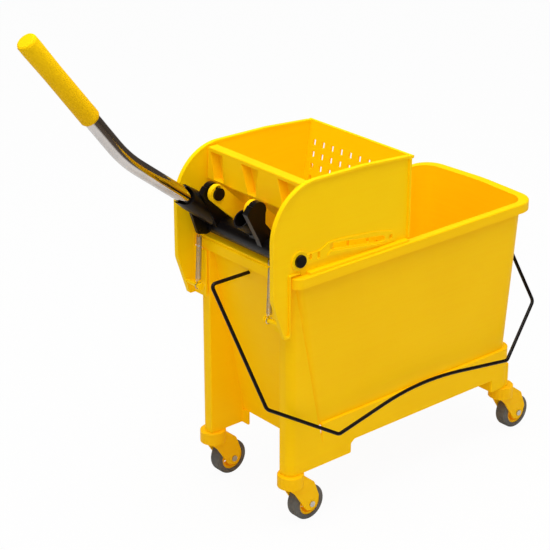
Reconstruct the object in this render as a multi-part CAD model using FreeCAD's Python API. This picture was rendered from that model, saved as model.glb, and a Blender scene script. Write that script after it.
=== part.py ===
import FreeCAD, Part
import math
import os

# Wheeled mop bucket with a lever wringer hung in one end.
# Frame: origin on the floor under the middle of the caster track, +X towards the pouring end,
# +Y across the bucket, +Z up. The wringer and its lever are at the -X end. Millimetres.

# Driving dimensions of the tub
TUB_FLOOR_Z = 134.0
RIM_TOP_Z = 364.0
WALL = 3.0
TUB_FRONT_LOW = -151.7
TUB_FRONT_HIGH = -196.8
TUB_BACK_LOW = 218.0
TUB_BACK_HIGH = 228.0
TUB_HALF_LOW = 88.0
TUB_HALF_HIGH = 101.0
END_BOW = 7.0
BACK_CORNER_LOW = 22.0
BACK_CORNER_HIGH = 28.0
FRONT_CORNER = 10.0

# Rolled rim
RIM_HALF = 108.0
RIM_FRONT = -203.0
RIM_BACK = 240.0
RIM_DEPTH = 14.0
RIM_WALL = 3.0

# Skirt, leg columns and feet
SKIRT_LOW_Z = 95.0
SKIRT_HALF = 93.0
SKIRT_FRONT = -144.0
SKIRT_BACK = 224.0
FOOT_Z = 76.0
FOOT_FLOOR = 4.0
COLUMN_FRONT = -201.0
COLUMN_INNER = 71.0
FOOT_PANEL_END = -92.0
BACK_FOOT_START = 182.0
BACK_FOOT_INNER = 60.0

# Casters
WHEEL_RADIUS = 25.0
WHEEL_WIDTH = 19.0
HUB_RADIUS = 17.5
HUB_WIDTH = 20.0
HUB_SPOKES = 5
AXLE_RADIUS = 2.5
RUNNING_GAP = 0.05
CASTER_Y = 82.0
FRONT_CASTER_X = -190.0
BACK_CASTER_X = 214.0
CASTER_TRAIL = 26.0
FORK_CAP_RADIUS = 18.0
FORK_CAP_LOW = 57.5
FORK_CAP_HIGH = 75.4
FORK_INNER = 10.6
FORK_OUTER = 13.6
STEM_RADIUS = 5.0
STEM_TOP = 103.0
SOCKET_TOP = 108.0
SOCKET_RADIUS = 9.5

# Carrying handle of bent wire
BAIL_WIRE = 2.5
BAIL_Z = 338.0
BAIL_LEAN = 30.0
BAIL_BEND = 9.0
EAR_RADIUS = 8.0
EAR_INSIDE = -181.0
EAR_BACK = 242.0
EAR_BACK_DEPTH = 9.4

# Wringer frame
CHEEK_OUT = 97.0
CHEEK_IN = 94.0
CHEEK_LIP = 3.0
CHEEK_TOP_Z = 489.0
CHEEK_FRONT = -235.5
TAB_LOW_Z = 284.0
BACKWALL_TOP_X = 0.0
BACKWALL_TOP_Z = 481.0
BASKET_LOW_X = -26.0
BASKET_FLOOR_Z = 318.0
BASKET_FRONT_X = -170.0
BASKET_HALF = 94.5
SPRING_X = -219.0
SPRING_Y = 72.4
SPRING_PEG_Z = 303.0
GUIDE_START = (-136.0, 390.6)
GUIDE_END = (-48.0, 377.5)
STUD_RADIUS = 4.0

# Yoke, its pivots and its crank pins
PIVOT_X = -190.5
PIVOT_Z = 385.0
PIVOT_RADIUS = 4.5
BAR_RADIUS = 13.5
BAR_HALF = 90.0
CRANK_X = -208.5
CRANK_Z = 438.5
CRANK_PIN_RADIUS = 4.0
CRANK_EYE = 12.5
FAR_ARM = (50.5, 59.5)
NEAR_ARM = (-40.5, -31.5)
FAR_LUG = (40.5, 47.5)
NEAR_LUG = (-31.0, -25.0)
LUG_RADIUS = 12.0
LUG_SLOPE = 43.0
LUG_LENGTH = 70.0
LUG_SLOT_LOW = -0.6
LUG_SLOT_HIGH = 6.6
LUG_GAP = 0.7
HOOK_X = -215.1
HOOK_Z = 381.5

# Lever and sockets
LEVER_Y = 66.0
LEVER_RADIUS = 10.5
LEVER_WALL = 1.5
SOCKET_SLOPE = 37.7
SOCKET_FOOT = (-183.0, 390.5)
LEVER_SOCKET_LENGTH = 83.4
LEVER_SOCKET_NECK = 64.0
LEVER_SOCKET_RADIUS = 15.0
LEVER_MOUTH_RADIUS = 13.4
LEVER_MOUTH_CUT = 12.0
SPARE_Y = -12.0
SPARE_FOOT = (-180.3, 395.6)
SPARE_SOCKET_LENGTH = 42.0
SPARE_SOCKET_RADIUS = 12.6
SPARE_BORE_DEPTH = 30.0
LEVER_BEND_AT = 191.4
LEVER_BEND_RADIUS = 200.0
GRIP_BASE = (-382.7, 570.8)
GRIP_LENGTH = 143.0
GRIP_RADIUS = 12.9

# Press plate
PLATE_HALF = 90.5
PLATE_TOP = (-184.0, 484.0)
PLATE_BROW = (-187.0, 441.0)
PLATE_RIDGE = (-163.0, 427.0)
PLATE_WAIST = (-157.0, 372.0)
PLATE_LOW = (-149.0, 346.0)
PLATE_WALL = 4.0
POCKET_DEPTH = 12.0


def point(x, y, z):
    return FreeCAD.Vector(x, y, z)


def box(low, high):
    """Block between two opposite corners."""
    size = [high[axis] - low[axis] for axis in range(3)]
    return Part.makeBox(size[0], size[1], size[2], point(*low))


def rod(start, end, radius):
    """Solid cylinder from one point to another."""
    run = end - start
    return Part.makeCylinder(radius, run.Length, start, run)


def fused(shapes):
    """One solid from overlapping shapes."""
    whole = shapes[0]
    for shape in shapes[1:]:
        whole = whole.fuse(shape).removeSplitter()
    return whole


def mirrored(shape):
    """The same shape on the other side of the bucket's middle plane."""
    return shape.mirror(point(0, 0, 0), point(0, 1, 0))


def rounded_edges(corners, closed=True):
    """Straight runs through (point, radius) corners, with a tangent arc at each rounded corner."""
    count = len(corners)
    leave = []
    arcs = []
    for index in range(count):
        here, radius = corners[index]
        at_end = not closed and index in (0, count - 1)
        if at_end or radius <= 0:
            leave.append((here, here))
            arcs.append(None)
            continue
        back = (corners[index - 1][0] - here).normalize()
        ahead = (corners[(index + 1) % count][0] - here).normalize()
        half = back.getAngle(ahead) / 2
        reach = radius / math.tan(half)
        start = here + back * reach
        end = here + ahead * reach
        middle = (back + ahead).normalize()
        centre_distance = radius / math.sin(half)
        top = here + middle * (centre_distance - radius)
        leave.append((start, end))
        arcs.append(Part.Arc(start, top, end).toShape())
    edges = []
    for index in range(count):
        if arcs[index]:
            edges.append(arcs[index])
        if index == count - 1 and not closed:
            break
        start = leave[index][1]
        end = leave[(index + 1) % count][0]
        if start.distanceToPoint(end) > 1e-6:
            edges.append(Part.LineSegment(start, end).toShape())
    return edges


def side_plate(corners, y_low, y_high):
    """Plate standing in the XZ plane, from (x, z, radius) corners, between two Y values."""
    placed = [(point(x, y_low, z), radius) for x, z, radius in corners]
    face = Part.Face(Part.Wire(rounded_edges(placed)))
    return face.extrude(point(0, y_high - y_low, 0))


def level_wire(corners, z):
    """Closed outline at one height, from (x, y, radius) corners."""
    placed = [(point(x, y, z), radius) for x, y, radius in corners]
    return Part.Wire(rounded_edges(placed))


def level_block(corners, z_low, z_high):
    """Upright block on an outline of (x, y, radius) corners."""
    return Part.Face(level_wire(corners, z_low)).extrude(point(0, 0, z_high - z_low))


def bucket_plan(front, back, half, front_corner, back_corner):
    """Outline of the bucket seen from above: square front, bowed pouring end, round corners."""
    return [
        (front, -half, front_corner),
        (back, -half, back_corner),
        (back + END_BOW, 0, 250.0),
        (back, half, back_corner),
        (front, half, front_corner),
    ]


def swept_wire(corners, radius):
    """Round wire along straight runs with rounded bends."""
    path = Part.Wire(rounded_edges(corners, closed=False))
    start = corners[0][0]
    heading = corners[1][0] - start
    section = Part.Wire(Part.makeCircle(radius, start, heading))
    return path.makePipeShell([section], True, True)


def tub_block(inset, floor_z, top_z):
    """Tapered block of the tub: outer form for inset 0, inner form for the wall's thickness."""
    def at_height(z):
        share = (z - TUB_FLOOR_Z) / (RIM_TOP_Z - TUB_FLOOR_Z)
        front = TUB_FRONT_LOW + (TUB_FRONT_HIGH - TUB_FRONT_LOW) * share + inset
        back = TUB_BACK_LOW + (TUB_BACK_HIGH - TUB_BACK_LOW) * share - inset
        half = TUB_HALF_LOW + (TUB_HALF_HIGH - TUB_HALF_LOW) * share - inset
        corner = BACK_CORNER_LOW + (BACK_CORNER_HIGH - BACK_CORNER_LOW) * share - inset
        return level_wire(bucket_plan(front, back, half, FRONT_CORNER - inset, corner), z)
    return Part.makeLoft([at_height(floor_z), at_height(top_z)], True, True)


def rim_block(inset, z_low, z_high):
    """Block on the rim's outline."""
    plan = bucket_plan(RIM_FRONT + inset, RIM_BACK - inset, RIM_HALF - inset, 12.0 - inset, 32.0 - inset)
    return level_block(plan, z_low, z_high)


def rolled_rim():
    """Flat lip with a down-turned edge right round the tub."""
    flat = rim_block(0, RIM_TOP_Z - RIM_WALL, RIM_TOP_Z)
    edge = rim_block(0, RIM_TOP_Z - RIM_DEPTH, RIM_TOP_Z)
    edge = edge.cut(rim_block(RIM_WALL, RIM_TOP_Z - RIM_DEPTH - 1, RIM_TOP_Z + 1))
    rim = flat.fuse(edge).removeSplitter()
    top_edges = [
        edge for edge in rim.Edges
        if abs(edge.BoundBox.ZMin - RIM_TOP_Z) < 1e-4 and abs(edge.BoundBox.ZMax - RIM_TOP_Z) < 1e-4
    ]
    return rim.makeFillet(2.0, top_edges)


def base_skirt():
    """Upright band under the tub's sides and pouring end, and the tub's floor plate on it."""
    outer = [
        (SKIRT_FRONT, -SKIRT_HALF, 2.0), (SKIRT_BACK, -SKIRT_HALF, 20.0),
        (SKIRT_BACK, SKIRT_HALF, 20.0), (SKIRT_FRONT, SKIRT_HALF, 2.0),
    ]
    inner = [
        (SKIRT_FRONT - 20, -SKIRT_HALF + WALL, 0), (SKIRT_BACK - WALL, -SKIRT_HALF + WALL, 17.0),
        (SKIRT_BACK - WALL, SKIRT_HALF - WALL, 17.0), (SKIRT_FRONT - 20, SKIRT_HALF - WALL, 0),
    ]
    top = TUB_FLOOR_Z + WALL
    band = level_block(outer, SKIRT_LOW_Z, top).cut(level_block(inner, SKIRT_LOW_Z - 1, TUB_FLOOR_Z))
    return band


def end_apron():
    """Sloping strip that carries the front end wall on down to the skirt's edge."""
    slope = (TUB_FRONT_LOW - SKIRT_FRONT) / (TUB_FLOOR_Z - SKIRT_LOW_Z)
    top_x = SKIRT_FRONT + slope * (TUB_FLOOR_Z + WALL - SKIRT_LOW_Z)
    corners = [
        (SKIRT_FRONT, SKIRT_LOW_Z, 0), (SKIRT_FRONT + WALL, SKIRT_LOW_Z, 0),
        (top_x + WALL, TUB_FLOOR_Z + WALL, 0), (top_x, TUB_FLOOR_Z + WALL, 0),
    ]
    return side_plate(corners, -SKIRT_HALF, SKIRT_HALF)


def outside_front_slope():
    """Everything on the tub's side of its sloping front wall."""
    rise = RIM_TOP_Z - TUB_FLOOR_Z
    slope = (TUB_FRONT_HIGH - TUB_FRONT_LOW) / rise
    middle = WALL / 2
    low_x = TUB_FRONT_LOW - slope * (TUB_FLOOR_Z - SKIRT_LOW_Z) + middle
    high_x = TUB_FRONT_HIGH + slope * 10 + middle
    corners = [(low_x, SKIRT_LOW_Z, 0), (60.0, SKIRT_LOW_Z, 0), (60.0, RIM_TOP_Z + 10, 0), (high_x, RIM_TOP_Z + 10, 0)]
    return side_plate(corners, -150.0, 150.0)


def leg_column():
    """Hollow corner column and foot on the +Y side of the wringer end, down to the caster."""
    inner_y = COLUMN_INNER + WALL
    outer_y = SKIRT_HALF - WALL
    outer = [
        (COLUMN_FRONT, COLUMN_INNER, 2.0), (SKIRT_FRONT, COLUMN_INNER, 0),
        (SKIRT_FRONT, SKIRT_HALF, 0), (COLUMN_FRONT, SKIRT_HALF, 11.0),
    ]
    hollow = [
        (COLUMN_FRONT + WALL, inner_y, 0), (SKIRT_FRONT + 5, inner_y, 0),
        (SKIRT_FRONT + 5, outer_y, 0), (COLUMN_FRONT + WALL, outer_y, 8.0),
    ]
    column = level_block(outer, FOOT_Z, RIM_TOP_Z - RIM_WALL)
    column = column.cut(level_block(hollow, FOOT_Z + FOOT_FLOOR, RIM_TOP_Z - 2 * RIM_WALL))
    column = column.cut(outside_front_slope())
    back = box((SKIRT_FRONT - WALL, BACK_FOOT_INNER - 2, FOOT_Z), (SKIRT_FRONT, SKIRT_HALF, SKIRT_LOW_Z + 1))
    panel = side_plate(
        [
            (COLUMN_FRONT + 20, FOOT_Z, 0), (FOOT_PANEL_END, FOOT_Z, 2.0), (FOOT_PANEL_END, SKIRT_LOW_Z - 5, 4.0),
            (FOOT_PANEL_END + 8, SKIRT_LOW_Z + 1, 0), (COLUMN_FRONT + 20, SKIRT_LOW_Z + 1, 0),
        ],
        outer_y, SKIRT_HALF)
    return fused([column, back, panel])


def back_foot():
    """Box foot on the +Y side of the pouring end."""
    outer = [
        (BACK_FOOT_START, BACK_FOOT_INNER, 2.0), (SKIRT_BACK, BACK_FOOT_INNER, 2.0),
        (SKIRT_BACK, SKIRT_HALF, 20.0), (BACK_FOOT_START, SKIRT_HALF, 2.0),
    ]
    hollow = [
        (BACK_FOOT_START + WALL, BACK_FOOT_INNER + WALL, 0), (SKIRT_BACK - WALL, BACK_FOOT_INNER + WALL, 0),
        (SKIRT_BACK - WALL, SKIRT_HALF - WALL, 17.0), (BACK_FOOT_START + WALL, SKIRT_HALF - WALL, 0),
    ]
    foot = level_block(outer, FOOT_Z, TUB_FLOOR_Z + 1)
    return foot.cut(level_block(hollow, FOOT_Z + FOOT_FLOOR, TUB_FLOOR_Z))


def caster_socket(x):
    """Boss in a foot on the +Y side, for a caster's stem."""
    return rod(point(x, CASTER_Y, FOOT_Z), point(x, CASTER_Y, SOCKET_TOP), SOCKET_RADIUS)


def front_ear():
    """Boss inside the sloping front wall, where the handle's wire turns; flush outside."""
    boss = rod(point(EAR_INSIDE - 15, 0, BAIL_Z), point(EAR_INSIDE, 0, BAIL_Z), EAR_RADIUS)
    return boss.common(tub_block(0, TUB_FLOOR_Z, RIM_TOP_Z))


def back_ear():
    """Boss outside the pouring end's wall for the handle's other end."""
    return rod(point(EAR_BACK, 0, BAIL_Z), point(EAR_BACK - 14, 0, BAIL_Z), EAR_RADIUS)


def bucket_shell():
    """The moulded bucket: tub, rim, skirt, columns, feet, caster sockets and handle ears."""
    tub = tub_block(0, TUB_FLOOR_Z, RIM_TOP_Z)
    cavity = tub_block(WALL, TUB_FLOOR_Z + WALL, RIM_TOP_Z + 0.5)
    side_parts = [leg_column(), back_foot(), caster_socket(FRONT_CASTER_X), caster_socket(BACK_CASTER_X)]
    parts = [tub, rolled_rim(), base_skirt(), end_apron()]
    parts += side_parts
    parts += [mirrored(shape) for shape in side_parts]
    shell = fused(parts + [back_ear()]).cut(cavity).fuse(front_ear()).removeSplitter()
    for x in (FRONT_CASTER_X, BACK_CASTER_X):
        for y in (-CASTER_Y, CASTER_Y):
            hole = rod(point(x, y, FOOT_Z - 1), point(x, y, STEM_TOP + 1), STEM_RADIUS + RUNNING_GAP)
            shell = shell.cut(hole)
    for start_x, end_x in ((EAR_INSIDE - 20, EAR_INSIDE - 2), (EAR_BACK + 1, EAR_BACK - EAR_BACK_DEPTH)):
        hole = rod(point(start_x, 0, BAIL_Z), point(end_x, 0, BAIL_Z), BAIL_WIRE + RUNNING_GAP)
        shell = shell.cut(hole)
    return shell


def caster_fork(x, y):
    """Swivel cap with two cheek plates that trail back to the axle."""
    cap = rod(point(x, y, FORK_CAP_LOW), point(x, y, FORK_CAP_HIGH), FORK_CAP_RADIUS)
    cap = cap.makeFillet(1.5, cap.Edges[0:1])
    axle_x = x + CASTER_TRAIL
    outline = [
        (x - 10, FORK_CAP_HIGH - 2, 2.0), (x + 10, FORK_CAP_HIGH - 2, 6.0), (x + 30, 58.0, 10.0),
        (axle_x + 13, 33.0, 8.0), (axle_x + 4, 14.5, 8.0), (axle_x - 9, 18.0, 6.0), (x - 2, 48.0, 12.0),
        (x - 11, 57.0, 2.0),
    ]
    plates = side_plate(outline, y - FORK_OUTER, y + FORK_OUTER)
    gap = box((x - 60, y - FORK_INNER, 0), (x + 80, y + FORK_INNER, FORK_CAP_LOW + 0.5))
    wheel_room = rod(
        point(axle_x, y - FORK_INNER, WHEEL_RADIUS), point(axle_x, y + FORK_INNER, WHEEL_RADIUS), WHEEL_RADIUS + 3)
    fork = cap.fuse(plates).removeSplitter().cut(gap).cut(wheel_room)
    fork = fork.cut(rod(point(x, y, FORK_CAP_HIGH - 12), point(x, y, FORK_CAP_HIGH + 1), STEM_RADIUS))
    return fork.cut(rod(point(axle_x, y - 30, WHEEL_RADIUS), point(axle_x, y + 30, WHEEL_RADIUS), AXLE_RADIUS))


def caster_stem(x, y):
    """Steel stem pressed into the fork; it turns in the foot's socket."""
    stem = rod(point(x, y, FORK_CAP_HIGH - 12), point(x, y, STEM_TOP), STEM_RADIUS)
    return stem.makeChamfer(1.0, [edge for edge in stem.Edges if edge.BoundBox.ZMin > STEM_TOP - 1])


def wheel_hub(x, y):
    """Moulded wheel centre with spokes and a bearing tube."""
    def across(radius, width):
        return rod(point(x, y - width / 2, WHEEL_RADIUS), point(x, y + width / 2, WHEEL_RADIUS), radius)
    band = across(HUB_RADIUS, HUB_WIDTH - 4).cut(across(HUB_RADIUS - 3, HUB_WIDTH))
    spokes = []
    for index in range(HUB_SPOKES):
        spoke = box((x, y - 4, WHEEL_RADIUS - 1.5), (x + HUB_RADIUS - 1, y + 4, WHEEL_RADIUS + 1.5))
        spoke.rotate(point(x, y, WHEEL_RADIUS), point(0, 1, 0), 360.0 / HUB_SPOKES * index + 18)
        spokes.append(spoke)
    hub = fused([band, across(6.0, HUB_WIDTH)] + spokes)
    return hub.cut(across(AXLE_RADIUS + RUNNING_GAP, HUB_WIDTH + 2))


def wheel_tyre(x, y):
    """Grey tread with rounded shoulders round the hub."""
    low = point(x, y - WHEEL_WIDTH / 2, WHEEL_RADIUS)
    high = point(x, y + WHEEL_WIDTH / 2, WHEEL_RADIUS)
    tyre = rod(low, high, WHEEL_RADIUS)
    tyre = tyre.makeFillet(3.5, [edge for edge in tyre.Edges if edge.Length > 4 * WHEEL_RADIUS])
    return tyre.cut(rod(low - point(0, 1, 0), high + point(0, 1, 0), HUB_RADIUS))


def wheel_axle(x, y):
    """Steel rivet through both fork plates and the wheel."""
    half = FORK_OUTER + 0.2
    pin = rod(point(x, y - half, WHEEL_RADIUS), point(x, y + half, WHEEL_RADIUS), AXLE_RADIUS)
    heads = []
    for side in (-1, 1):
        start = point(x, y + side * FORK_OUTER, WHEEL_RADIUS)
        head = rod(start, start + point(0, side * 1.8, 0), 4.2)
        heads.append(head)
    return fused([pin] + heads)


def bail_point(x, reach):
    """A point of the handle at a distance from its pivot line, in its leaning plane."""
    lean = math.radians(BAIL_LEAN)
    return point(x, -reach * math.sin(lean), BAIL_Z - reach * math.cos(lean))


def bail_handle():
    """Bent wire handle that hangs against the -Y side, its ends turned into the ears."""
    corners = [
        (bail_point(EAR_INSIDE - 3, 0), 0), (bail_point(-254.0, 0), 6.0), (bail_point(-235.0, 174.0), BAIL_BEND),
        (bail_point(-138.5, 239.0), BAIL_BEND), (bail_point(22.0, 213.0), 500.0),
        (bail_point(185.0, 234.0), BAIL_BEND), (bail_point(270.5, 169.0), BAIL_BEND),
        (bail_point(252.0, 0), 6.0), (bail_point(EAR_BACK - EAR_BACK_DEPTH + 0.4, 0), 0),
    ]
    return swept_wire(corners, BAIL_WIRE)


def cheek_outline(inset):
    """Outline of a wringer cheek: big front curve, flat top, hanging tab at the front."""
    return [
        (CHEEK_FRONT + inset, CHEEK_TOP_Z - inset, 72.0 - inset),
        (-80.0, 487.0 - inset, 200.0),
        (BACKWALL_TOP_X - inset, BACKWALL_TOP_Z - inset, 6.0 - inset),
        (BACKWALL_TOP_X - inset, 352.0 + inset, 3.0),
        (-187.0 - inset, 352.0 + inset, 3.0),
        (-187.0 - inset, 366.5 + inset, 0),
        (-205.0 - inset, 366.5 + inset, 2.0),
        (-205.0 - inset, TAB_LOW_Z + inset, 2.0),
        (-216.5 + inset, TAB_LOW_Z + inset, 2.5),
        (CHEEK_FRONT + inset, 341.0 + inset, 20.0),
    ]


def cheek_pad(corners, height):
    """Low raised patch on the cheek's outer face, from (x, z, radius) corners."""
    return side_plate(corners, CHEEK_OUT - 0.5, CHEEK_OUT + height)


def guide_slot(half, y_low, y_high):
    """Round-ended sloping slot between the two ends of the press plate's travel."""
    slope = math.atan2(GUIDE_END[1] - GUIDE_START[1], GUIDE_END[0] - GUIDE_START[0])
    length = math.hypot(GUIDE_END[0] - GUIDE_START[0], GUIDE_END[1] - GUIDE_START[1])
    slot = side_plate(
        [
            (-half, -half, half - 0.01), (length + half, -half, half - 0.01),
            (length + half, half, half - 0.01), (-half, half, half - 0.01),
        ],
        y_low, y_high)
    slot.rotate(point(0, 0, 0), point(0, 1, 0), -math.degrees(slope))
    slot.translate(point(GUIDE_START[0], 0, GUIDE_START[1]))
    return slot


def wringer_cheek():
    """The +Y cheek with its lip, raised pad, rest flange, pivot boss, guide slot and spring peg."""
    plate = side_plate(cheek_outline(0), CHEEK_IN, CHEEK_OUT)
    lip = side_plate(cheek_outline(0), CHEEK_IN - 0.5, CHEEK_OUT + CHEEK_LIP)
    lip = lip.cut(side_plate(cheek_outline(WALL), CHEEK_IN - 1, CHEEK_OUT + CHEEK_LIP + 1))
    lip = lip.cut(box((-206.5, CHEEK_IN - 2, 280.0), (20.0, CHEEK_OUT + 6, 368.0)))
    boss = rod(point(PIVOT_X, CHEEK_IN - 3, PIVOT_Z), point(PIVOT_X, CHEEK_OUT + 2, PIVOT_Z), 13.0)
    flange = box((-178.0, CHEEK_OUT - 0.5, RIM_TOP_Z + 0.05), (-6.0, CHEEK_OUT + 8, RIM_TOP_Z + 3.0))
    pad = cheek_pad(
        [
            (-184.0, 377.0, 1.0), (-139.0, 376.6, 20.0), (-78.0, 369.6, 20.0), (-24.0, 369.0, 2.0),
            (-23.0, 376.0, 5.0), (-31.0, 384.0, 8.0), (-60.0, 390.5, 30.0), (-122.0, 397.0, 30.0),
            (-141.0, 397.4, 8.0), (-156.0, 390.6, 8.0), (-184.0, 390.0, 1.0),
        ],
        1.4)
    sill = cheek_pad(
        [
            (-146.0, 379.4, 1.5), (-139.0, 385.2, 2.0), (-52.0, 372.3, 0), (-56.0, 370.6, 0), (-112.0, 376.8, 0),
        ],
        2.8)
    web = box((-207.5, SPRING_Y - 2, TAB_LOW_Z), (-205.0, CHEEK_IN + 1, 350.0))
    peg = rod(point(SPRING_X, SPRING_Y - 5, SPRING_PEG_Z), point(SPRING_X, CHEEK_IN + 1, SPRING_PEG_Z), 3.0)
    peg_head = rod(
        point(SPRING_X, SPRING_Y - 7, SPRING_PEG_Z), point(SPRING_X, SPRING_Y - 5, SPRING_PEG_Z), 4.5)
    cheek = fused([plate, lip, boss, flange, pad, sill, web, peg, peg_head])
    cheek = cheek.cut(guide_slot(STUD_RADIUS + 0.3, CHEEK_IN - 5, CHEEK_OUT + 5))
    for x, z, wide, high in ((-172.2, 386.0, 4.4, 7.0), (-158.8, 384.6, 4.8, 9.0), (-33.3, 377.0, 6.0, 6.0)):
        cheek = cheek.cut(box(
            (x - wide / 2, CHEEK_OUT - 1.5, z - high / 2), (x + wide / 2, CHEEK_OUT + 5, z + high / 2)))
    hole = rod(point(PIVOT_X, CHEEK_IN - 5, PIVOT_Z), point(PIVOT_X, CHEEK_OUT + 5, PIVOT_Z), PIVOT_RADIUS)
    return cheek.cut(hole)


def basket_wall(top, low, half):
    """Flat wall across the basket between two (x, z) points."""
    slant = math.atan2(top[0] - low[0], top[1] - low[1])
    step_x = -WALL * math.cos(slant)
    step_z = WALL * math.sin(slant)
    corners = [(low[0], low[1], 0), (top[0], top[1], 0), (top[0] + step_x, top[1] + step_z, 0),
               (low[0] + step_x, low[1] + step_z, 0)]
    return side_plate(corners, -half, half)


def drain_slots():
    """Rows of short upright slots through the back wall, and of long slots through the floor."""
    cutters = []
    for row in range(8):
        z = 337.0 + 16.5 * row
        x = BASKET_LOW_X + (BACKWALL_TOP_X - BASKET_LOW_X) * (z - BASKET_FLOOR_Z) / (BACKWALL_TOP_Z - BASKET_FLOOR_Z)
        for column in range(10):
            y = -80.5 + 18.0 * column
            cutters.append(box((x - 9, y - 2.6, z - 4.2), (x + 5, y + 2.6, z + 4.2)))
    for column in range(9):
        y = -72.0 + 18.0 * column
        for x in (-155.0, -108.0, -61.0):
            cutters.append(box((x, y - 2, BASKET_FLOOR_Z - 5), (x + 36, y + 2, BASKET_FLOOR_Z + 5)))
    return Part.makeCompound(cutters)


def wringer_frame():
    """One moulding: two cheeks, perforated back wall and basket floor, and the front rail."""
    cheek = wringer_cheek()
    back = basket_wall((BACKWALL_TOP_X, BACKWALL_TOP_Z), (BASKET_LOW_X, BASKET_FLOOR_Z), CHEEK_IN + 1)
    back_low = box((-70.0, CHEEK_OUT - 2.5, 300.0), (10.0, 120.0, 352.0))
    back = back.cut(back_low).cut(mirrored(back_low))
    lip = box(
        (BACKWALL_TOP_X - WALL, -CHEEK_OUT - CHEEK_LIP, BACKWALL_TOP_Z - 4),
        (BACKWALL_TOP_X + 3.5, CHEEK_OUT + CHEEK_LIP, BACKWALL_TOP_Z))
    lip = lip.makeFillet(1.2, [edge for edge in lip.Edges if edge.Length > 150])
    floor = box((BASKET_FRONT_X - 2, -BASKET_HALF, BASKET_FLOOR_Z), (BASKET_LOW_X, BASKET_HALF, BASKET_FLOOR_Z + WALL))
    front = basket_wall((-178.0, RIM_TOP_Z + 3), (BASKET_FRONT_X, BASKET_FLOOR_Z), BASKET_HALF)
    rail = box((-200.0, -CHEEK_IN - 1, RIM_TOP_Z + 0.05), (-177.0, CHEEK_IN + 1, RIM_TOP_Z + 3))
    side = side_plate(
        [
            (BASKET_FRONT_X - 2, BASKET_FLOOR_Z, 0), (BASKET_LOW_X, BASKET_FLOOR_Z, 0),
            (BASKET_LOW_X + 6, 358.0, 0), (BASKET_FRONT_X - 8, 358.0, 0),
        ],
        BASKET_HALF - WALL, BASKET_HALF)
    frame = fused([cheek, mirrored(cheek), back, lip, floor, front, rail, side, mirrored(side)])
    return frame.cut(drain_slots())


def pivot_pin(side):
    """Black headed pin pressed into a cheek; the yoke's bar turns on it."""
    inner = point(PIVOT_X, side * (BAR_HALF - 18), PIVOT_Z)
    outer = point(PIVOT_X, side * (CHEEK_OUT + 2), PIVOT_Z)
    head = rod(outer, outer + point(0, side * 4, 0), 8.5)
    head = head.makeFillet(1.2, [edge for edge in head.Edges if abs(edge.BoundBox.YMax) > CHEEK_OUT + 5.9
                                 or abs(edge.BoundBox.YMin) > CHEEK_OUT + 5.9][:1])
    return fused([rod(inner, outer, PIVOT_RADIUS), head])


def plate_pockets():
    """Pockets under the plate's top edge, each wide at the top and narrow at the brow."""
    pockets = []
    for left, right, low_left, low_right in (
            (87.0, 61.0, 76.0, 56.0), (24.1, -10.6, 7.1, -8.0), (-47.4, -82.0, -62.0, -76.0)):
        top_z = PLATE_TOP[1] - 5
        low_z = PLATE_BROW[1] + 2
        top = Part.makePolygon([
            point(PLATE_TOP[0] - 6, left, top_z), point(PLATE_TOP[0] + POCKET_DEPTH, left - 2, top_z),
            point(PLATE_TOP[0] + 3, right, top_z), point(PLATE_TOP[0] - 6, right, top_z),
            point(PLATE_TOP[0] - 6, left, top_z)])
        low = Part.makePolygon([
            point(PLATE_BROW[0] - 6, low_left, low_z), point(PLATE_BROW[0] + POCKET_DEPTH, low_left - 1, low_z),
            point(PLATE_BROW[0] + 3, low_right, low_z), point(PLATE_BROW[0] - 6, low_right, low_z),
            point(PLATE_BROW[0] - 6, low_left, low_z)])
        pockets.append(Part.makeLoft([top, low], True, True))
    return Part.makeCompound(pockets)


def plate_lug(span):
    """Round-ended lug on the plate, slotted for the crank pin."""
    slope = math.radians(LUG_SLOPE)
    run = point(math.cos(slope), 0, -math.sin(slope)) * LUG_LENGTH
    across = point(math.sin(slope), 0, math.cos(slope)) * LUG_RADIUS
    start = point(CRANK_X, span[0], CRANK_Z)
    wire = Part.makePolygon([start + across, start + run + across, start + run - across, start - across,
                             start + across])
    arm = Part.Face(wire).extrude(point(0, span[1] - span[0], 0))
    eye = rod(start, point(CRANK_X, span[1], CRANK_Z), LUG_RADIUS)
    return arm.fuse(eye).removeSplitter()


def lug_slot():
    """Upright slot that lets the crank pin rise and fall a little as the plate slides."""
    half = CRANK_PIN_RADIUS + LUG_GAP
    low_z = CRANK_Z + LUG_SLOT_LOW - half
    high_z = CRANK_Z + LUG_SLOT_HIGH + half
    corners = [
        (CRANK_X - half, low_z, half - 0.01), (CRANK_X + half, low_z, half - 0.01),
        (CRANK_X + half, high_z, half - 0.01), (CRANK_X - half, high_z, half - 0.01),
    ]
    return side_plate(corners, NEAR_LUG[0] - 1, FAR_LUG[1] + 1)


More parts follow.
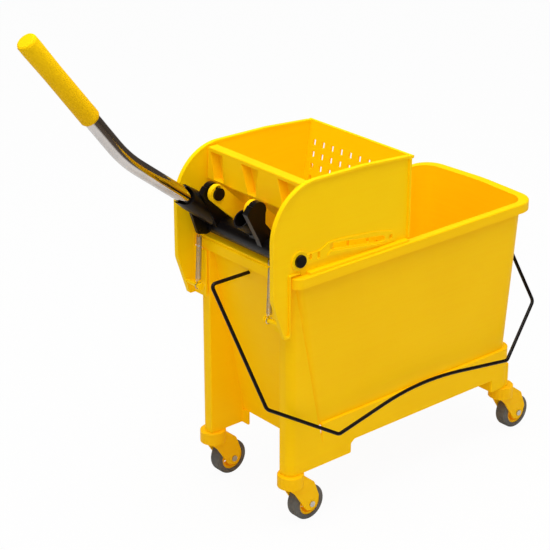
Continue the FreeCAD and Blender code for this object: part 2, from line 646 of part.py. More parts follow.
def press_plate():
    """Gusseted plate that squeezes the mop against the back wall."""
    upper = side_plate(
        [
            (PLATE_TOP[0], PLATE_TOP[1], 1.5), (PLATE_TOP[0] + POCKET_DEPTH + 3, PLATE_TOP[1], 1.5),
            (PLATE_RIDGE[0] + 6, PLATE_RIDGE[1], 0), (PLATE_RIDGE[0], PLATE_RIDGE[1], 0),
            (PLATE_BROW[0], PLATE_BROW[1], 3.0),
        ],
        -PLATE_HALF, PLATE_HALF)
    upper = upper.cut(plate_pockets())
    lower = side_plate(
        [
            (PLATE_RIDGE[0], PLATE_RIDGE[1] + 1, 0), (PLATE_WAIST[0], PLATE_WAIST[1], 0),
            (PLATE_LOW[0], PLATE_LOW[1], 0), (PLATE_LOW[0] + PLATE_WALL, PLATE_LOW[1], 0),
            (PLATE_WAIST[0] + PLATE_WALL, PLATE_WAIST[1], 0), (PLATE_RIDGE[0] + PLATE_WALL, PLATE_RIDGE[1] + 1, 0),
        ],
        -PLATE_HALF, PLATE_HALF)
    parts = [upper, lower]
    for y in (-84.0, -56.0, 0.0, 28.0, 84.0):
        parts.append(side_plate(
            [
                (PLATE_RIDGE[0] - 6, PLATE_RIDGE[1] + 5, 0), (PLATE_RIDGE[0] + 2, PLATE_RIDGE[1] + 5, 0),
                (PLATE_WAIST[0] + 2, PLATE_WAIST[1], 0), (PLATE_WAIST[0] - 1, PLATE_WAIST[1], 0),
            ],
            y - 1.25, y + 1.25))
    for span in (FAR_LUG, NEAR_LUG):
        parts.append(plate_lug(span).cut(lug_slot()))
    for side in (-1, 1):
        low_y = min(side * (PLATE_HALF - 14), side * PLATE_HALF)
        parts.append(box(
            (PLATE_WAIST[0] - 1, low_y, GUIDE_START[1] - 6), (GUIDE_START[0], low_y + 14, GUIDE_START[1] + 6)))
        parts.append(rod(
            point(GUIDE_START[0], low_y, GUIDE_START[1]), point(GUIDE_START[0], low_y + 14, GUIDE_START[1]), 8.0))
    plate = fused(parts)
    for side in (-1, 1):
        hole = rod(
            point(GUIDE_START[0], side * (PLATE_HALF - 12), GUIDE_START[1]),
            point(GUIDE_START[0], side * (PLATE_HALF + 1), GUIDE_START[1]), STUD_RADIUS)
        plate = plate.cut(hole)
    return plate


def plate_stud(side):
    """Stud pressed into the plate's edge; it slides in the cheek's slot."""
    inner = point(GUIDE_START[0], side * (PLATE_HALF - 12), GUIDE_START[1])
    outer = point(GUIDE_START[0], side * (CHEEK_OUT - 0.5), GUIDE_START[1])
    return rod(inner, outer, STUD_RADIUS)


def socket_direction():
    slope = math.radians(SOCKET_SLOPE)
    return point(-math.cos(slope), 0, math.sin(slope))


def socket_rod(foot, y, start, end, radius):
    """Round stretch of a socket's line, between two distances from its foot."""
    base = point(foot[0], y, foot[1])
    return rod(base + socket_direction() * start, base + socket_direction() * end, radius)


def lever_socket():
    """The lever's socket: a round body, a tapered neck and a mouth with an upper and a lower tongue."""
    body = socket_rod(SOCKET_FOOT, LEVER_Y, 0, LEVER_SOCKET_NECK, LEVER_SOCKET_RADIUS)
    neck_foot = point(SOCKET_FOOT[0], LEVER_Y, SOCKET_FOOT[1]) + socket_direction() * (LEVER_SOCKET_NECK - 0.5)
    neck = Part.makeCone(
        LEVER_SOCKET_RADIUS, LEVER_MOUTH_RADIUS, LEVER_SOCKET_LENGTH - LEVER_SOCKET_NECK + 0.5,
        neck_foot, socket_direction())
    mouth = point(SOCKET_FOOT[0], LEVER_Y, SOCKET_FOOT[1]) + socket_direction() * LEVER_SOCKET_LENGTH
    across = point(0, LEVER_SOCKET_RADIUS + 5, 0)
    return body.fuse(neck).removeSplitter().cut(rod(mouth - across, mouth + across, LEVER_MOUTH_CUT))


def crank_arm(span):
    """Flat arm that widens from the crank pin's eye down to the bar."""
    web = side_plate(
        [
            (CRANK_X - 11.0, CRANK_Z + 8.5, 1.0), (CRANK_X - 19.0, CRANK_Z - 1.0, 3.0),
            (PIVOT_X - 17.0, PIVOT_Z + 14.0, 0), (PIVOT_X - 9.0, PIVOT_Z - 7.0, 0), (PIVOT_X + 9.0, PIVOT_Z - 6.0, 0),
            (PIVOT_X + 14.0, PIVOT_Z + 9.0, 3.0), (CRANK_X + 11.0, CRANK_Z - 19.0, 4.0), (CRANK_X + 11.5, CRANK_Z - 4, 0),
            (CRANK_X, CRANK_Z + 4, 0),
        ],
        span[0], span[1])
    eye = rod(point(CRANK_X, span[0], CRANK_Z), point(CRANK_X, span[1], CRANK_Z), CRANK_EYE)
    return web.fuse(eye).removeSplitter()


def spring_lug(side, outline):
    """Drilled lug on the bar that a spring hooks into."""
    low_y = side * SPRING_Y - 2.5
    high_y = side * SPRING_Y + 2.5
    lug = side_plate(outline, low_y, high_y)
    return lug.cut(rod(point(HOOK_X, low_y - 1, HOOK_Z), point(HOOK_X, high_y + 1, HOOK_Z), 2.0))


def yoke():
    """Black yoke: cross bar, two crank arms, the lever's socket, a spare socket and spring lugs."""
    bar = rod(point(PIVOT_X, -BAR_HALF, PIVOT_Z), point(PIVOT_X, BAR_HALF, PIVOT_Z), BAR_RADIUS)
    near_lug = [
        (HOOK_X - 3.4, HOOK_Z - 5, 3.0), (PIVOT_X - 6, PIVOT_Z - 10, 0), (PIVOT_X - 6, PIVOT_Z + 8, 0),
        (HOOK_X - 3.4, HOOK_Z + 5, 3.0),
    ]
    far_lug = [
        (-230.0, 408.5, 1.0), (-225.0, 394.0, 6.0), (-219.0, 376.5, 3.0), (-205.0, 373.5, 0),
        (PIVOT_X, PIVOT_Z - 9, 0), (PIVOT_X + 8, PIVOT_Z + 8, 0), (-208.0, 412.0, 0),
    ]
    spare_block = side_plate(
        [
            (PIVOT_X - 10, PIVOT_Z + 4, 0), (PIVOT_X + 9, PIVOT_Z + 2, 0), (PIVOT_X + 9, PIVOT_Z + 20, 3.0),
            (PIVOT_X - 12, PIVOT_Z + 32, 3.0),
        ],
        NEAR_LUG[1] + 0.6, SPARE_Y)
    parts = [
        bar, crank_arm(FAR_ARM), crank_arm(NEAR_ARM), lever_socket(),
        socket_rod(SPARE_FOOT, SPARE_Y, 0, SPARE_SOCKET_LENGTH, SPARE_SOCKET_RADIUS),
        spring_lug(-1, near_lug), spring_lug(1, far_lug), spare_block,
    ]
    body = fused(parts)
    body = body.cut(socket_rod(SOCKET_FOOT, LEVER_Y, 12, LEVER_SOCKET_LENGTH + 1, LEVER_RADIUS))
    body = body.cut(socket_rod(
        SPARE_FOOT, SPARE_Y, SPARE_SOCKET_LENGTH - SPARE_BORE_DEPTH, SPARE_SOCKET_LENGTH + 1, LEVER_RADIUS))
    for side in (-1, 1):
        hole = rod(
            point(PIVOT_X, side * (BAR_HALF - 19), PIVOT_Z), point(PIVOT_X, side * (BAR_HALF + 1), PIVOT_Z),
            PIVOT_RADIUS + RUNNING_GAP)
        body = body.cut(hole)
    for span in (FAR_ARM, NEAR_ARM):
        hole = rod(
            point(CRANK_X, span[0] - 1, CRANK_Z), point(CRANK_X, span[1] + 1, CRANK_Z), CRANK_PIN_RADIUS)
        body = body.cut(hole)
    return body


def crank_pin(arm, lug, head_from, head_to):
    """Black headed pin pressed into a crank arm and running in the plate's lug."""
    low = min(arm[0], lug[0])
    high = max(arm[1], lug[1])
    shank = rod(point(CRANK_X, min(low, head_from), CRANK_Z), point(CRANK_X, max(high, head_from), CRANK_Z),
                CRANK_PIN_RADIUS)
    head = rod(point(CRANK_X, head_from, CRANK_Z), point(CRANK_X, head_to, CRANK_Z), 8.5)
    return shank.fuse(head).removeSplitter()


def lever_points():
    """Lever's centre line in the XZ plane: socket foot, socket mouth side, bend and grip end."""
    foot = point(SOCKET_FOOT[0], LEVER_Y, SOCKET_FOOT[1])
    start = foot + socket_direction() * 12.5
    bend = foot + socket_direction() * LEVER_BEND_AT
    base = point(GRIP_BASE[0], LEVER_Y, GRIP_BASE[1])
    rise = (base - bend).normalize()
    return start, bend, base, rise


def lever_tube():
    """Bright bent tube from the yoke's socket into the grip."""
    start, bend, base, rise = lever_points()
    end = base + rise * (GRIP_LENGTH - 16)
    corners = [(start, 0), (bend, LEVER_BEND_RADIUS), (end, 0)]
    outer = swept_wire(corners, LEVER_RADIUS)
    inner = swept_wire(corners, LEVER_RADIUS - LEVER_WALL)
    return outer.cut(inner)


def lever_grip():
    """Yellow push-on grip, nearly straight, with a flat closed end and softened edges."""
    base, rise = lever_points()[2:]
    profile = [
        (LEVER_RADIUS, 0), (GRIP_RADIUS - 1.2, 0), (GRIP_RADIUS, 2.5), (GRIP_RADIUS - 0.3, GRIP_LENGTH * 0.6),
        (GRIP_RADIUS + 0.4, GRIP_LENGTH - 14), (GRIP_RADIUS + 0.2, GRIP_LENGTH - 3), (GRIP_RADIUS - 0.9, GRIP_LENGTH - 0.8),
        (GRIP_RADIUS - 3, GRIP_LENGTH), (0, GRIP_LENGTH), (0, GRIP_LENGTH - 15), (LEVER_RADIUS, GRIP_LENGTH - 15),
    ]
    wire = Part.makePolygon([point(r, 0, h) for r, h in profile + profile[:1]])
    grip = Part.Face(wire).revolve(point(0, 0, 0), point(0, 0, 1), 360)
    turn = FreeCAD.Rotation(point(0, 0, 1), rise)
    grip.Placement = FreeCAD.Placement(base, turn)
    return grip


def return_spring(side):
    """Wound spring with a straight hook wire at each end, from the peg up to the yoke's lug."""
    y = side * SPRING_Y
    low = point(SPRING_X, y, SPRING_PEG_Z)
    high = point(HOOK_X, y, HOOK_Z)
    run = (high - low).normalize()
    coil = rod(low + run * 9, high - run * 9, 4.0)
    coil = coil.cut(rod(low, high, 2.8))
    parts = [coil]
    for end, way, gap in ((low, 1, 3.4), (high, -1, 7.4)):
        disc = rod(end + run * (9 * way), end + run * (10 * way), 3.5)
        leg = rod(end + run * (gap * way), end + run * (9.5 * way), 0.8)
        parts += [disc, leg]
    return fused(parts)


def save(shape, node):
    """Write one node and report a shape that is not a single valid solid."""
    solids = len(shape.Solids)
    if solids != 1 or not shape.isValid():
        print("CHECK", node, "solids", solids, "valid", shape.isValid())
    shape.exportStep("parts/" + node + ".step")


def main():
    os.makedirs("parts", exist_ok=True)
    save(bucket_shell(), "bucket_shell")
    save(bail_handle(), "bail_handle")
    corners = {
        "front_near": (FRONT_CASTER_X, -CASTER_Y), "front_far": (FRONT_CASTER_X, CASTER_Y),
        "back_near": (BACK_CASTER_X, -CASTER_Y), "back_far": (BACK_CASTER_X, CASTER_Y),
    }
    for corner, (x, y) in corners.items():
        save(caster_fork(x, y), "fork_" + corner)
        save(caster_stem(x, y), "stem_" + corner)
        save(wheel_hub(x + CASTER_TRAIL, y), "hub_" + corner)
        save(wheel_tyre(x + CASTER_TRAIL, y), "tyre_" + corner)
        save(wheel_axle(x + CASTER_TRAIL, y), "axle_" + corner)
    save(wringer_frame(), "wringer_frame")
    save(press_plate(), "press_plate")
    save(yoke(), "yoke")
    for side, name in ((-1, "near"), (1, "far")):
        save(pivot_pin(side), "pivot_pin_" + name)
        save(plate_stud(side), "plate_stud_" + name)
        save(return_spring(side), "return_spring_" + name)
    save(crank_pin(FAR_ARM, FAR_LUG, FAR_LUG[0] - 0.3, FAR_LUG[0] - 3.3), "crank_pin_far")
    save(crank_pin(NEAR_ARM, NEAR_LUG, NEAR_LUG[1] + 0.3, NEAR_LUG[1] + 3.3), "crank_pin_near")
    save(lever_tube(), "lever_tube")
    save(lever_grip(), "lever_grip")


main()
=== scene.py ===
import bmesh
import bpy
import math
from mathutils import Matrix, Vector


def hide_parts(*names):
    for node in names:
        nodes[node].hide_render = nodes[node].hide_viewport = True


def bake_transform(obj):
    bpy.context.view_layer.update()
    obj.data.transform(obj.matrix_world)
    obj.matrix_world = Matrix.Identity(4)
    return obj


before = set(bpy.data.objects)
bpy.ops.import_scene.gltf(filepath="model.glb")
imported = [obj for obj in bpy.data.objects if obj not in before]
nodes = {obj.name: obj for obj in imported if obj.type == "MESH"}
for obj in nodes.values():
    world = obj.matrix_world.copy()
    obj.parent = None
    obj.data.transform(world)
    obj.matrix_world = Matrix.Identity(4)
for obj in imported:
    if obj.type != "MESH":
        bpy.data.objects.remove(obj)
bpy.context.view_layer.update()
scene = bpy.context.scene
scene.view_settings.view_transform = "Standard"

# The camera stands at the wringer end's near corner, a little above the rim, and looks down
# along the bucket with a long lens.
CAMERA_PLACE = (-1.5664, -1.6675, 1.2660)
CAMERA_TILT = 66.67
CAMERA_TURN = -40.4
LENS_MM = 118.86
SENSOR_MM = 36.0
CAMERA_REACH = 20.0
eye = bpy.data.objects.new("camera", bpy.data.cameras.new("camera"))
scene.collection.objects.link(eye)
eye.data.lens = LENS_MM
eye.data.sensor_width = SENSOR_MM
eye.data.clip_end = CAMERA_REACH
eye.location = CAMERA_PLACE
eye.rotation_euler = (math.radians(CAMERA_TILT), 0.0, math.radians(CAMERA_TURN))
scene.camera = eye

# The bucket: one thick-walled polypropylene moulding in safety yellow. It comes out of its mould
# with a soft gloss, faint flow clouds in the colour and a fine grain that only shows close by.
OBJECT_SPACE = "Object"
# Painted glow: the strength of a weak emission in the plastics' own colours that lightens their
# shade.
PAINTED_GLOW = 0.12


class Shade:
    """One output of a material's nodes. Python arithmetic on it adds Math nodes."""

    def __init__(self, socket):
        self.socket = socket

    def node(self, kind, settings, sockets, output=0):
        made = self.socket.id_data.nodes.new("ShaderNode" + kind)
        for name, value in settings.items():
            setattr(made, name, value)
        for name, value in sockets.items():
            if isinstance(value, Shade):
                self.socket.id_data.links.new(value.socket, made.inputs[name])
            else:
                made.inputs[name].default_value = value
        return Shade(made.outputs[output])

    def maths(self, operation, first, second):
        return self.node("Math", {"operation": operation}, {0: first, 1: second})

    def __add__(self, other):
        return self.maths("ADD", self, other)

    def __radd__(self, other):
        return self.maths("ADD", other, self)

    def __mul__(self, other):
        return self.maths("MULTIPLY", self, other)

    def __rmul__(self, other):
        return self.maths("MULTIPLY", other, self)

    def noise(self, scale, detail=2.0, roughness=0.5):
        sockets = {"Vector": self, "Scale": scale, "Detail": detail, "Roughness": roughness}
        return self.node("TexNoise", {}, sockets)

    def stretched(self, scale):
        return self.node("Mapping", {}, {"Vector": self, "Scale": scale})

    def between(self, low, high):
        return self.node("MapRange", {}, {"Value": self, "From Min": low, "From Max": high})

    def blend(self, first, second):
        return self.node("Mix", {"data_type": "RGBA"}, {0: self, 6: first, 7: second}, 2)

    def bump(self, strength, distance):
        return self.node("Bump", {}, {"Height": self, "Strength": strength, "Distance": distance})


def new_material(name):
    """An empty material, its shader and its object coordinates."""
    material = bpy.data.materials.new(name)
    material.use_nodes = True
    shader = material.node_tree.nodes["Principled BSDF"]
    where = material.node_tree.nodes.new("ShaderNodeTexCoord").outputs[OBJECT_SPACE]
    return material, shader, Shade(where)


def feed(shader, name, value):
    """Link a varying value to one of the shader's sockets."""
    shader.id_data.links.new(value.socket, shader.inputs[name])


def moulded_plastic(name, colour, deep, gloss, grain):
    """Moulded plastic: clouded colour, faint flow lines, dulled patches, a fine grain and a little
    painted glow, an emission in its own colour that lightens its shaded sides like light through
    its walls."""
    material, shader, where = new_material(name)
    clouds = where.noise(9.0, 3.0).between(0.35, 0.65)
    flow = where.stretched((3.0, 3.0, 60.0)).noise(4.0, 2.0).between(0.4, 0.6)
    shade = (clouds * 0.7 + flow * 0.3).blend(colour, deep)
    feed(shader, "Base Color", shade)
    # Painted glow: the colour also feeds a weak emission, which lightens the plastic where it is in
    # shade.
    feed(shader, "Emission Color", shade)
    shader.inputs["Emission Strength"].default_value = PAINTED_GLOW
    dulled = where.noise(45.0, 4.0, 0.6).between(0.3, 0.7)
    skin = where.noise(900.0, 2.0) + where.noise(60.0, 2.0) * 0.6
    feed(shader, "Roughness", clouds * 0.06 + dulled * 0.08 + gloss)
    feed(shader, "Normal", skin.bump(grain, 0.0004))
    shader.inputs["Specular IOR Level"].default_value = 0.05
    return material


def dress(node, material):
    """Give a carried-over node its material."""
    for slot in nodes[node].material_slots:
        slot.material = material


YELLOW = (0.965, 0.570, 0.0015, 1.0)
YELLOW_DEEP = (0.935, 0.535, 0.001, 1.0)
shell_plastic = moulded_plastic("shell_yellow", YELLOW, YELLOW_DEEP, 0.34, 0.08)
dress("bucket_shell", shell_plastic)

# The casters: yellow nylon forks that swivel on zinc-plated stems, spoked yellow wheel centres
# and grey non-marking tyres. A riveted steel axle holds each wheel between its fork's plates.
FORK_YELLOW = (0.950, 0.530, 0.003, 1.0)
FORK_YELLOW_DEEP = (0.90, 0.47, 0.002, 1.0)
HUB_YELLOW = (0.930, 0.500, 0.004, 1.0)
HUB_YELLOW_DEEP = (0.88, 0.45, 0.003, 1.0)
TYRE_GREY = (0.112, 0.108, 0.100, 1.0)
TYRE_DUST = (0.180, 0.170, 0.145, 1.0)
fork_plastic = moulded_plastic("fork_yellow", FORK_YELLOW, FORK_YELLOW_DEEP, 0.30, 0.08)
hub_plastic = moulded_plastic("hub_yellow", HUB_YELLOW, HUB_YELLOW_DEEP, 0.36, 0.08)


def plated_steel(name, colour, roughness, brush):
    """Bright plated steel with fine drawn marks and a few dull patches."""
    material, shader, where = new_material(name)
    marks = where.stretched(brush).noise(60.0, 3.0).between(0.3, 0.7)
    patches = where.noise(35.0, 3.0).between(0.35, 0.75)
    dull = tuple(part * 0.82 for part in colour[:3]) + (1.0,)
    feed(shader, "Base Color", patches.blend(colour, dull))
    feed(shader, "Roughness", marks * 0.10 + patches * 0.08 + roughness)
    feed(shader, "Normal", marks.bump(0.12, 0.0001))
    shader.inputs["Metallic"].default_value = 1.0
    return material


zinc = plated_steel("zinc_plate", (0.62, 0.62, 0.60, 1.0), 0.26, (1.0, 1.0, 14.0))


def tyre_rubber():
    """Grey rubber, matte, dusty in patches, with a fine moulded grain."""
    material, shader, where = new_material("tyre_grey")
    dust = where.noise(55.0, 5.0, 0.65).between(0.42, 0.72)
    feed(shader, "Base Color", dust.blend(TYRE_GREY, TYRE_DUST))
    feed(shader, "Roughness", dust * 0.12 + 0.62)
    feed(shader, "Normal", where.noise(1400.0, 3.0).bump(0.25, 0.0003))
    shader.inputs["Specular IOR Level"].default_value = 0.3
    return material


rubber = tyre_rubber()
for corner in ("front_near", "front_far", "back_near", "back_far"):
    dress("fork_" + corner, fork_plastic)
    dress("hub_" + corner, hub_plastic)
    dress("tyre_" + corner, rubber)
    dress("stem_" + corner, zinc)
    dress("axle_" + corner, zinc)

# The wringer frame: a second yellow moulding that hangs over the rim. Its yellow is a touch
# brighter than the bucket's: painted light, standing for the bright bounce light inside its cheeks.
FRAME_YELLOW = (0.965, 0.605, 0.0015, 1.0)
FRAME_YELLOW_DEEP = (0.940, 0.572, 0.001, 1.0)
frame_plastic = moulded_plastic("wringer_yellow", FRAME_YELLOW, FRAME_YELLOW_DEEP, 0.32, 0.07)
dress("wringer_frame", frame_plastic)

# The press plate: a yellow moulding with pockets behind its brow and two lugs for the crank pins.
# The two studs are yellow plugs pressed into its ends, and run in the cheeks' sloping slots.
PRESS_YELLOW = (0.945, 0.555, 0.002, 1.0)
PRESS_YELLOW_DEEP = (0.91, 0.50, 0.0015, 1.0)
press_plastic = moulded_plastic("press_yellow", PRESS_YELLOW, PRESS_YELLOW_DEEP, 0.34, 0.07)
for name in ("press_plate", "plate_stud_near", "plate_stud_far"):
    dress(name, press_plastic)

# The yoke and its four headed pins: black glass-filled nylon, satin, with lighter rub marks.
# The yoke is one moulding of a cross bar, two crank arms, two sockets and two spring lugs. Each
# pin is driven in from outside until its head seats.
NYLON_BLACK = (0.0035, 0.0025, 0.0025, 1.0)
NYLON_RUBBED = (0.010, 0.008, 0.008, 1.0)


def black_nylon(name):
    """Black nylon with pale rub marks and a sandy moulded skin."""
    material, shader, where = new_material(name)
    rubbed = where.noise(70.0, 5.0, 0.7).between(0.55, 0.8)
    feed(shader, "Base Color", rubbed.blend(NYLON_BLACK, NYLON_RUBBED))
    feed(shader, "Roughness", rubbed * 0.12 + where.noise(200.0, 3.0) * 0.08 + 0.30)
    feed(shader, "Normal", where.noise(1100.0, 3.0).bump(0.14, 0.0003))
    shader.inputs["Specular IOR Level"].default_value = 0.28
    return material


nylon = black_nylon("yoke_black")
pin_nylon = black_nylon("pin_black")
dress("yoke", nylon)
for name in ("pivot_pin_near", "pivot_pin_far", "crank_pin_near", "crank_pin_far"):
    dress(name, pin_nylon)

# The return springs: close-wound galvanised wire with a hook at each end, from a peg on the cheek
# up to a drilled lug of the yoke.
SPRING_WIRE = 0.00055
SPRING_WIRE_SIDES = 6
SPRING_COIL = 0.0034
SPRING_TURNS = 34
SPRING_STEPS = SPRING_TURNS * 14
SPRING_EYE = 0.0046
SPRING_EYE_ANGLE = 320
SPRING_HOOK_REACH = 0.0085
SPRING_SIDES = {"near": -0.0724, "far": 0.0724}
SPRING_PEG = (-0.219, 0.303)
SPRING_LUG = (-0.2151, 0.3815)
CENTRE = (0, 0, 0)
spring_zinc = plated_steel("spring_zinc", (0.66, 0.65, 0.62, 1.0), 0.30, (1.0, 1.0, 3.0))


def wire_ring(shape, angle, axis, place):
    """One ring of the wire's section, turned and put in its place, with its edges."""
    ring = bmesh.ops.create_circle(shape, segments=SPRING_WIRE_SIDES, radius=SPRING_WIRE)["verts"]
    turn = Matrix.Rotation(math.radians(angle), 3, axis)
    bmesh.ops.rotate(shape, verts=ring, cent=CENTRE, matrix=turn)
    bmesh.ops.translate(shape, verts=ring, vec=place)
    return ring + list(dict.fromkeys(edge for vert in ring for edge in vert.link_edges))


def spring_coil(shape, length):
    """The close-wound coil, swept up in small screw steps."""
    ring = wire_ring(shape, 90, "X", (SPRING_COIL, 0, SPRING_HOOK_REACH))
    rise = (length - 2 * SPRING_HOOK_REACH) / SPRING_STEPS
    bmesh.ops.spin(
        shape, geom=ring, cent=CENTRE, axis=(0, 0, 1), dvec=(0, 0, rise),
        angle=SPRING_TURNS * 2 * math.pi, steps=SPRING_STEPS, use_duplicate=False)


def spring_hook(shape, base, way):
    """A quarter turn of wire in from the coil, and the open eye beyond it."""
    ring = wire_ring(shape, 0, "X", (SPRING_COIL, 0, base))
    bmesh.ops.spin(
        shape, geom=ring, cent=(0, 0, base), axis=(0, -way, 0), angle=math.pi * 0.5,
        steps=8, use_duplicate=False)
    middle = base + way * SPRING_HOOK_REACH
    ring = wire_ring(shape, 90, "Y", (0, 0, middle - way * SPRING_EYE))
    bmesh.ops.spin(
        shape, geom=ring, cent=(0, 0, middle), axis=(0, 1, 0), angle=math.radians(SPRING_EYE_ANGLE),
        steps=20, use_duplicate=False)


def wound_spring(name, low, high):
    """A wound tension spring between its two hook points."""
    length = (high - low).length
    shape = bmesh.new()
    spring_coil(shape, length)
    spring_hook(shape, SPRING_HOOK_REACH, -1)
    spring_hook(shape, length - SPRING_HOOK_REACH, 1)
    turn = (high - low).to_track_quat("Z", "X").to_matrix()
    bmesh.ops.rotate(shape, verts=shape.verts, cent=CENTRE, matrix=turn)
    bmesh.ops.translate(shape, verts=shape.verts, vec=low)
    bmesh.ops.recalc_face_normals(shape, faces=shape.faces)
    mesh = bpy.data.meshes.new(name)
    shape.to_mesh(mesh)
    shape.free()
    for face in mesh.polygons:
        face.use_smooth = True
    piece = bpy.data.objects.new(name, mesh)
    scene.collection.objects.link(piece)
    mesh.materials.append(spring_zinc)
    return piece


for side, place in SPRING_SIDES.items():
    low = Vector((SPRING_PEG[0], place, SPRING_PEG[1]))
    high = Vector((SPRING_LUG[0], place, SPRING_LUG[1]))
    spring = wound_spring("spring_wound_" + side, low, high)
    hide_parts("return_spring_" + side)
    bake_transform(spring)

# The lever: a steel tube of 21 mm, bent cold, chromed and pressed into the yoke's socket. Its
# yellow grip is dipped vinyl, flat at the end and pushed on.
CHROME = (0.64, 0.61, 0.59, 1.0)
CHROME_SMUDGED = (0.52, 0.49, 0.47, 1.0)
# The grip goes from full yellow at the upper height to a darker yellow at the lower height.
GRIP_YELLOW = (1.0, 0.610, 0.002, 1.0)
GRIP_LOWER_YELLOW = (0.860, 0.480, 0.0015, 1.0)
GRIP_UPPER_Z = 0.69
GRIP_LOWER_Z = 0.57


def chrome_tube():
    """Bright chrome with faint drawn lines along the tube and small smudges."""
    material, shader, where = new_material("lever_chrome")
    smudge = where.noise(28.0, 4.0, 0.6).between(0.45, 0.8)
    feed(shader, "Base Color", smudge.blend(CHROME, CHROME_SMUDGED))
    feed(shader, "Roughness", smudge * 0.08 + 0.10)
    feed(shader, "Normal", where.stretched((1.0, 40.0, 1.0)).noise(40.0, 2.0).bump(0.03, 0.0001))
    shader.inputs["Metallic"].default_value = 1.0
    return material


dress("lever_tube", chrome_tube())


def grip_vinyl():
    """Soft yellow vinyl that darkens towards the grip's lower end, with faint blotches."""
    material, shader, where = new_material("grip_yellow")
    height = where.node("SeparateXYZ", {}, {"Vector": where}, 2)
    blotches = where.noise(22.0, 3.0).between(0.35, 0.65)
    dulled = where.noise(60.0, 3.0).between(0.3, 0.7)
    # Darker towards the lower end by height, mixed with a few blotches.
    lower_darkening = height.between(GRIP_UPPER_Z, GRIP_LOWER_Z) * 0.85 + blotches * 0.15
    feed(shader, "Base Color", lower_darkening.blend(GRIP_YELLOW, GRIP_LOWER_YELLOW))
    feed(shader, "Roughness", lower_darkening * 0.08 + dulled * 0.08 + 0.38)
    feed(shader, "Normal", where.noise(300.0, 2.0).bump(0.012, 0.0002))
    shader.inputs["Specular IOR Level"].default_value = 0.04
    return material


dress("lever_grip", grip_vinyl())

# The handle: one length of 5 mm steel wire, bent cold and coated in black powder, which leaves a
# slightly pebbled gloss. Its ends are turned into the ears.
COAT_BLACK = (0.005, 0.003, 0.003, 1.0)
COAT_WORN = (0.016, 0.012, 0.010, 1.0)


def powder_coat():
    """Black powder coat with a fine pebbled skin and lighter worn spots."""
    material, shader, where = new_material("handle_black")
    worn = where.noise(80.0, 4.0, 0.65).between(0.58, 0.8)
    feed(shader, "Base Color", worn.blend(COAT_BLACK, COAT_WORN))
    feed(shader, "Roughness", worn * 0.2 + 0.36)
    feed(shader, "Normal", where.noise(700.0, 2.0).bump(0.2, 0.0003))
    shader.inputs["Specular IOR Level"].default_value = 0.25
    return material


dress("bail_handle", powder_coat())

# The studio: a white floor that keeps a faint shadow under the bucket, a room that is white to
# the eye, and large soft lamps. Polished metal gets a painted reflection of a dim, warm room
# instead.
WHITE = (1.0, 1.0, 1.0, 1.0)
FLOOR_PAINT = (0.70, 0.70, 0.70, 1.0)
FLOOR_DARK = (0.09, 0.07, 0.055, 1.0)
FLOOR_REACH = 6.0
FLOOR_LIFT = 0.955
DARK_FROM_Y = -0.40
DARK_FULL_Y = -0.62
ROOM_LOW = (0.26, 0.26, 0.26, 1.0)
ROOM_HIGH = (0.95, 0.95, 0.95, 1.0)
ROOM_STRENGTH = 0.66
ROOM_MIRRORED = (0.075, 0.060, 0.048, 1.0)


def studio_floor():
    """White floor, lifted to white where the camera sees it. In polished metal it shows a painted
    reflection that turns dark in front of the bucket."""
    material = bpy.data.materials.new("studio_white")
    material.use_nodes = True
    tree = material.node_tree
    tree.nodes.clear()
    light_path = tree.nodes.new("ShaderNodeLightPath")
    seen = Shade(light_path.outputs["Is Camera Ray"]) * FLOOR_LIFT
    where = Shade(tree.nodes.new("ShaderNodeTexCoord").outputs[OBJECT_SPACE])
    beyond = where.node("SeparateXYZ", {}, {"Vector": where}, 1).between(DARK_FROM_Y, DARK_FULL_Y)
    # Painted reflection: only glossy rays see the floor darken in front of the bucket.
    dark = beyond * Shade(light_path.outputs["Is Glossy Ray"])
    shade = dark.blend(FLOOR_PAINT, FLOOR_DARK)
    paint = seen.node("BsdfDiffuse", {}, {"Color": shade})
    glow = seen.node("Emission", {}, {"Color": WHITE, "Strength": 1.0})
    both = seen.node("MixShader", {}, {0: seen, 1: paint, 2: glow})
    output = tree.nodes.new("ShaderNodeOutputMaterial")
    tree.links.new(both.socket, output.inputs["Surface"])
    return material


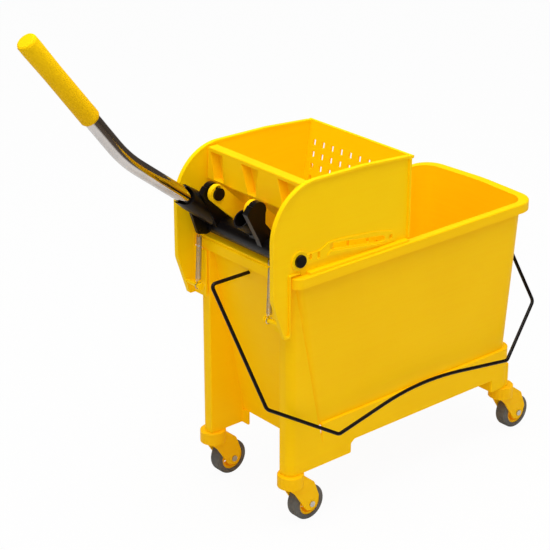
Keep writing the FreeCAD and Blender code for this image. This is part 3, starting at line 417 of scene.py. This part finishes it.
floor_shape = bmesh.new()
bmesh.ops.create_grid(floor_shape, x_segments=2, y_segments=2, size=FLOOR_REACH)
floor_mesh = bpy.data.meshes.new("studio_floor")
floor_shape.to_mesh(floor_mesh)
floor_shape.free()
floor = bpy.data.objects.new("studio_floor", floor_mesh)
scene.collection.objects.link(floor)
floor_mesh.materials.append(studio_floor())

world = bpy.data.worlds.new("studio")
world.use_nodes = True
scene.world = world
sky = world.node_tree
sky.nodes.clear()
path = sky.nodes.new("ShaderNodeLightPath")
direction = Shade(sky.nodes.new("ShaderNodeTexCoord").outputs["Generated"])
height = direction.node("SeparateXYZ", {}, {"Vector": direction}, 2)
room = height.between(-0.15, 0.9).blend(ROOM_LOW, ROOM_HIGH)
lit = direction.node("Background", {}, {"Color": room, "Strength": ROOM_STRENGTH})
# Painted reflection: glossy rays see a dim, warm room in place of the lit one.
dim = direction.node("Background", {}, {"Color": ROOM_MIRRORED, "Strength": 1.0})
white = direction.node("Background", {}, {"Color": WHITE, "Strength": 1.0})
glossy = Shade(path.outputs["Is Glossy Ray"])
camera = Shade(path.outputs["Is Camera Ray"])
mirrored = direction.node("MixShader", {}, {0: glossy, 1: lit, 2: dim})
shown = direction.node("MixShader", {}, {0: camera, 1: mirrored, 2: white})
world_output = sky.nodes.new("ShaderNodeOutputWorld")
sky.links.new(shown.socket, world_output.inputs["Surface"])


def soft_lamp(name, place, target, size, power, mirrored):
    """Square soft box aimed at a point. A mirrored one shows in polished metal."""
    lamp = bpy.data.objects.new(name, bpy.data.lights.new(name, "AREA"))
    lamp.data.shape = "SQUARE"
    lamp.data.size = size
    lamp.data.energy = power
    lamp.location = place
    aim = Vector(target) - Vector(place)
    lamp.rotation_euler = aim.to_track_quat("-Z", "Y").to_euler()
    lamp.visible_glossy = mirrored
    scene.collection.objects.link(lamp)


soft_lamp("key", (-1.5, -1.2, 2.4), (0.0, 0.0, 0.3), 1.6, 14.5, False)
soft_lamp("fill", (1.8, -1.8, 1.2), (0.0, 0.0, 0.25), 1.8, 3.0, False)
soft_lamp("top", (-0.2, -0.2, 2.7), (0.0, 0.0, 0.3), 2.0, 54.0, True)
